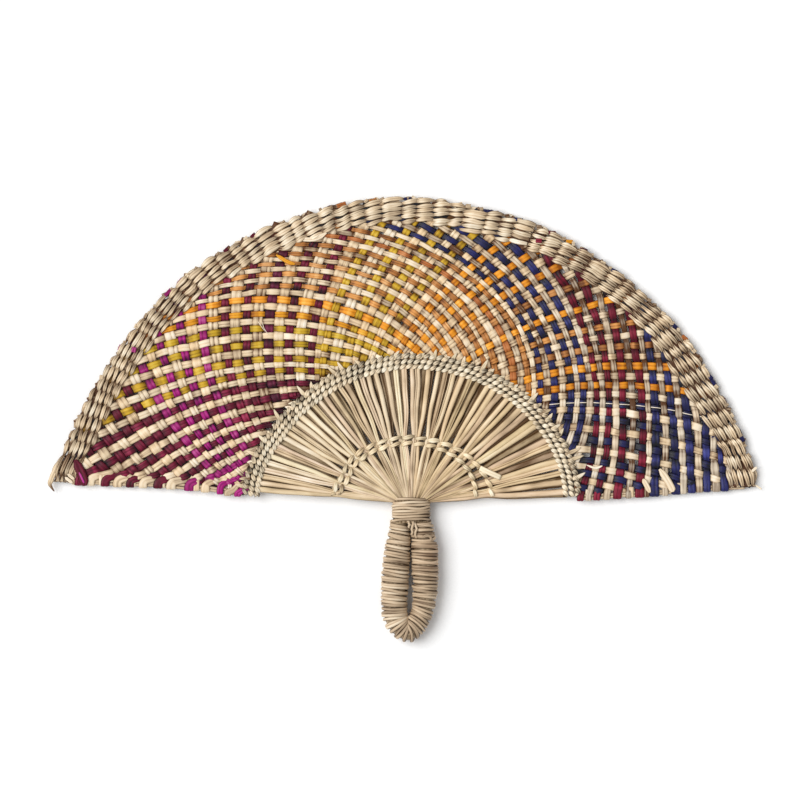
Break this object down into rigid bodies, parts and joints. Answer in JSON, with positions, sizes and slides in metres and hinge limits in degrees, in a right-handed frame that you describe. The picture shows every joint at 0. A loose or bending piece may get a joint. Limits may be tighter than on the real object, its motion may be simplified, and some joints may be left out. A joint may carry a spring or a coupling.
{
  "type": "straw hand fan",
  "caption": "Rigid hand fan: a half-ellipse blade of woven dyed straw with a twined border, radiating stalks and a straw-wound loop handle.",
  "frame": {"origin": "centre of the bounding box at its lowest plane, the surface on which the fan lies on its back", "axes": "+X to the right of the blade seen from its front, +Y from the handle to the top of the blade, +Z out of the front of the blade"},
  "size_m": [0.3994, 0.2512, 0.0142],
  "materials": {
    "border_straw": "undyed twined straw, dry and slightly glossy",
    "band_straw": "undyed twined straw with a green-grey tone",
    "cream_straw": "pale undyed twined straw",
    "stalk_straw": "undyed straight stalks, fine lengthwise grain",
    "cord_straw": "undyed straw wound flat, satin",
    "wine_straw": "dyed straw, satin with a fine lengthwise grain",
    "magenta_straw": "dyed straw, satin with a fine lengthwise grain",
    "yellow_straw": "dyed straw, satin with a fine lengthwise grain",
    "orange_straw": "dyed straw, satin with a fine lengthwise grain",
    "tan_straw": "dyed straw, satin with a fine lengthwise grain",
    "navy_straw": "dyed straw, satin with a fine lengthwise grain"
  },
  "bodies": {
    "root": {"border_row_1_front": "border_straw", "border_row_1_back": "border_straw", "border_row_2_front": "border_straw", "border_row_2_back": "border_straw", "border_row_3_front": "border_straw", "border_row_3_back": "border_straw", "border_row_4_front": "border_straw", "border_row_4_back": "border_straw", "border_row_5_front": "border_straw", "border_row_5_back": "border_straw", "inner_band_row_1_front": "band_straw", "inner_band_row_1_back": "band_straw", "inner_band_row_2_front": "band_straw", "inner_band_row_2_back": "band_straw", "inner_band_row_3_front": "band_straw", "inner_band_row_3_back": "band_straw", "small_band_row_1_front": "cream_straw", "small_band_row_1_back": "cream_straw", "small_band_row_2_front": "cream_straw", "small_band_row_2_back": "cream_straw", "small_band_tail": "cream_straw", "strands_front_wine": "wine_straw", "strands_front_yellow": "yellow_straw", "strands_front_orange": "orange_straw", "strands_front_tan": "tan_straw", "strands_front_navy": "navy_straw", "strands_front_red": "wine_straw", "strands_front_blue": "navy_straw", "strands_back_wine": "wine_straw", "strands_back_magenta": "magenta_straw", "strands_back_red": "wine_straw", "strands_back_yellow": "yellow_straw", "strands_back_orange": "orange_straw", "strands_back_tan": "tan_straw", "strands_back_navy": "navy_straw", "edge_straw_left": "border_straw", "edge_straw_right": "border_straw", "stalk_bundle_01": "stalk_straw", "stalk_bundle_02": "stalk_straw", "stalk_bundle_03": "stalk_straw", "stalk_bundle_04": "stalk_straw", "stalk_bundle_05": "stalk_straw", "stalk_bundle_06": "stalk_straw", "stalk_bundle_07": "stalk_straw", "stalk_bundle_08": "stalk_straw", "stalk_bundle_09": "stalk_straw", "stalk_bundle_10": "stalk_straw", "stalk_bundle_11": "stalk_straw", "stalk_bundle_12": "stalk_straw", "stalk_bundle_13": "stalk_straw", "stalk_bundle_14": "stalk_straw", "stalk_bundle_15": "stalk_straw", "stalk_bundle_16": "stalk_straw", "stalk_bundle_17": "stalk_straw", "stalk_bundle_18": "stalk_straw", "handle_core": "stalk_straw", "neck_winding": "cord_straw", "handle_winding": "cord_straw"}
  },
  "joints": []
}
